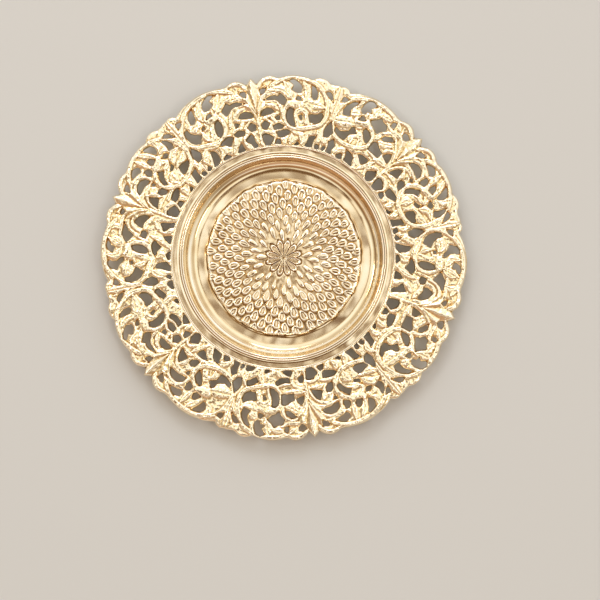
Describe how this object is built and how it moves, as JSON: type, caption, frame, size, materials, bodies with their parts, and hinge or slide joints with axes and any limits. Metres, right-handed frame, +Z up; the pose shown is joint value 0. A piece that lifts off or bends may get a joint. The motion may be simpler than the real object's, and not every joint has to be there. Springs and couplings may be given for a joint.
{
  "type": "filigree platter",
  "caption": "Round metal platter with a shallow well, an embossed flower medallion and a wide pierced border of cast scrolls and leaves.",
  "frame": {"origin": "centre of the underside of the well, on the surface that the platter stands on", "axes": "+Z up through the axis of the dish, +Y towards the top of the pattern as it is shown standing, with the first palmette 10.2 degrees to its left"},
  "size_m": [0.3064, 0.3048, 0.0165],
  "materials": {
    "polished_sheet": "spun, chased and polished pale gold plate, tarnished in the recesses",
    "cast_metal": "cast, hand filed and polished pale gold plate, dark in the recesses"
  },
  "bodies": {
    "root": {"centre_dish": "polished_sheet", "border_casting_1": "cast_metal", "border_casting_2": "cast_metal", "border_casting_3": "cast_metal", "border_casting_4": "cast_metal", "border_casting_5": "cast_metal", "border_casting_6": "cast_metal"}
  },
  "joints": []
}
